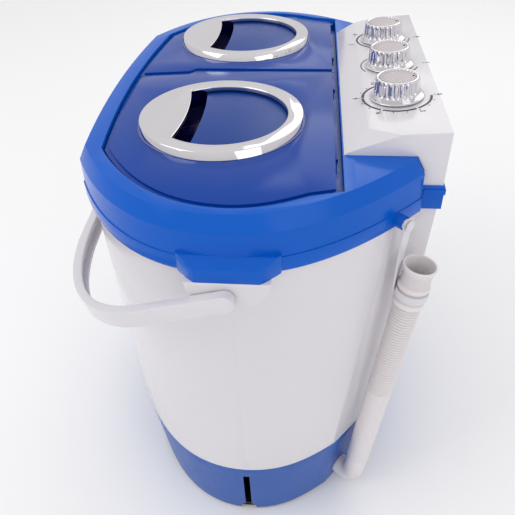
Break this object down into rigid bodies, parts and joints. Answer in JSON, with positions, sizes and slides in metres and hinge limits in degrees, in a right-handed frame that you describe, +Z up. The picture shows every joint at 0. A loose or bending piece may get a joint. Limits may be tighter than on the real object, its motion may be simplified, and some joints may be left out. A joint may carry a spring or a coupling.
{
  "type": "top load washing machine",
  "caption": "Compact top-load washer and spinner: round-ended white cabinet, blue rim, hinged lids with chrome ring grips, rear knobs, bail handle and side drain hose.",
  "frame": {"origin": "on the floor, under the middle of the overall footprint (feet on z = 0)", "axes": "+Z up; +X towards the wash-tub end, which carries the drain hose; +Y towards the rear control panel; -Y is the front"},
  "size_m": [0.54, 0.3397, 0.4791],
  "materials": {
    "white_casing": "moulded white ABS, soft gloss",
    "white_trim": "moulded white plastic, satin",
    "blue_rim": "moulded blue plastic, gloss",
    "blue_base": "moulded blue plastic, satin",
    "blue_lid": "tinted translucent blue plastic",
    "blue_insert": "satin blue insert",
    "chrome": "plated plastic, polished",
    "knob_disc": "frosted silver disc",
    "steel": "machined steel",
    "motor_paint": "black enamel",
    "galvanised": "zinc plated sheet",
    "tub_plastic": "white polypropylene",
    "grey_plastic": "grey moulded plastic",
    "black_plastic": "black moulded plastic",
    "rubber": "black rubber",
    "hose_plastic": "flexible milky polyethylene"
  },
  "bodies": {
    "cabinet": {"back_cover": "white_trim", "back_cover_screws": "steel", "base_plate": "black_plastic", "base_skirt": "blue_base", "control_panel": "white_casing", "cord_gland": "black_plastic", "drain_elbow": "hose_plastic", "drain_hose": "hose_plastic", "drain_pipe": "grey_plastic", "drain_valve": "grey_plastic", "drive_belt": "rubber", "handle_pins": "white_trim", "hose_cuff": "hose_plastic", "hose_strap": "white_trim", "lid_hinge_pins": "steel", "lint_filter": "white_trim", "motor_capacitor": "galvanised", "outer_casing": "white_casing", "pulsator_bearing": "grey_plastic", "rubber_feet": "rubber", "selector_body": "black_plastic", "spin_drain_pipe": "grey_plastic", "spin_motor": "motor_paint", "spin_motor_bracket": "galvanised", "spin_motor_mounts": "rubber", "spin_outer_tub": "tub_plastic", "spin_shaft_seal": "rubber", "spin_timer_body": "black_plastic", "strap_peg": "white_trim", "top_frame": "blue_rim", "wash_motor": "motor_paint", "wash_motor_bracket": "galvanised", "wash_timer_body": "black_plastic", "wash_tub": "tub_plastic"},
    "wash_lid_body": {"wash_lid": "blue_lid", "wash_lid_ring": "chrome", "wash_lid_dish": "blue_insert"},
    "spin_lid_body": {"spin_lid": "blue_lid", "spin_lid_ring": "chrome", "spin_lid_dish": "blue_insert"},
    "handle_body": {"carry_handle": "white_casing"},
    "wash_timer_turner": {"wash_timer_knob": "chrome", "wash_timer_knob_cap": "knob_disc", "wash_timer_shaft": "steel"},
    "selector_turner": {"selector_knob": "chrome", "selector_knob_cap": "knob_disc", "selector_shaft": "steel"},
    "spin_timer_turner": {"spin_timer_knob": "chrome", "spin_timer_knob_cap": "knob_disc", "spin_timer_shaft": "steel"},
    "pulsator_rotor": {"pulsator": "tub_plastic", "pulsator_shaft": "steel", "pulsator_pulley": "black_plastic"},
    "motor_rotor": {"wash_motor_shaft": "steel", "motor_pulley": "steel"},
    "basket_rotor": {"spin_basket": "tub_plastic", "spin_shaft": "steel", "spin_coupling": "galvanised"},
    "plunger_body": {"drain_plunger": "rubber"}
  },
  "joints": [
    {"name": "wash_lid_hinge", "type": "hinge", "parent": "cabinet", "child": "wash_lid_body", "pos_m": [0.095, 0.072, 0.434], "axis": [-1, 0, 0], "range_deg": [0, 95]},
    {"name": "spin_lid_hinge", "type": "hinge", "parent": "cabinet", "child": "spin_lid_body", "pos_m": [-0.123, 0.072, 0.434], "axis": [-1, 0, 0], "range_deg": [0, 95]},
    {"name": "handle_swing", "type": "hinge", "parent": "cabinet", "child": "handle_body", "pos_m": [0, -0.008, 0.377], "axis": [-1, 0, 0], "range_deg": [0, 110]},
    {"name": "wash_timer_turn", "type": "hinge", "parent": "cabinet", "child": "wash_timer_turner", "pos_m": [0.078, 0.128, 0.45894], "axis": [0, 0.0691, -0.9976], "range_deg": [0, 300]},
    {"name": "selector_turn", "type": "hinge", "parent": "cabinet", "child": "selector_turner", "pos_m": [0.002, 0.128, 0.45894], "axis": [0, 0.0691, -0.9976], "range_deg": [0, 90]},
    {"name": "spin_timer_turn", "type": "hinge", "parent": "cabinet", "child": "spin_timer_turner", "pos_m": [-0.074, 0.128, 0.45894], "axis": [0, 0.0691, -0.9976], "range_deg": [0, 270]},
    {"name": "pulsator_spin", "type": "hinge", "parent": "cabinet", "child": "pulsator_rotor", "pos_m": [0.098, -0.026, 0.15], "axis": [0, 0, 1], "continuous": true},
    {"name": "motor_spin", "type": "hinge", "parent": "cabinet", "child": "motor_rotor", "pos_m": [0.02, 0.08, 0.1], "axis": [0, 0, 1], "continuous": true},
    {"name": "basket_spin", "type": "hinge", "parent": "cabinet", "child": "basket_rotor", "pos_m": [-0.134, -0.0295, 0.15], "axis": [0, 0, 1], "continuous": true},
    {"name": "drain_plunger_slide", "type": "slide", "parent": "cabinet", "child": "plunger_body", "axis": [0, 0, -1], "range_m": [0, 0.008]}
  ],
  "couplings": [
    {"joint": "motor_spin", "follows": "pulsator_spin", "ratio": 4.6},
    {"joint": "drain_plunger_slide", "follows": "selector_turn", "m_per_rad": 0.005092}
  ]
}
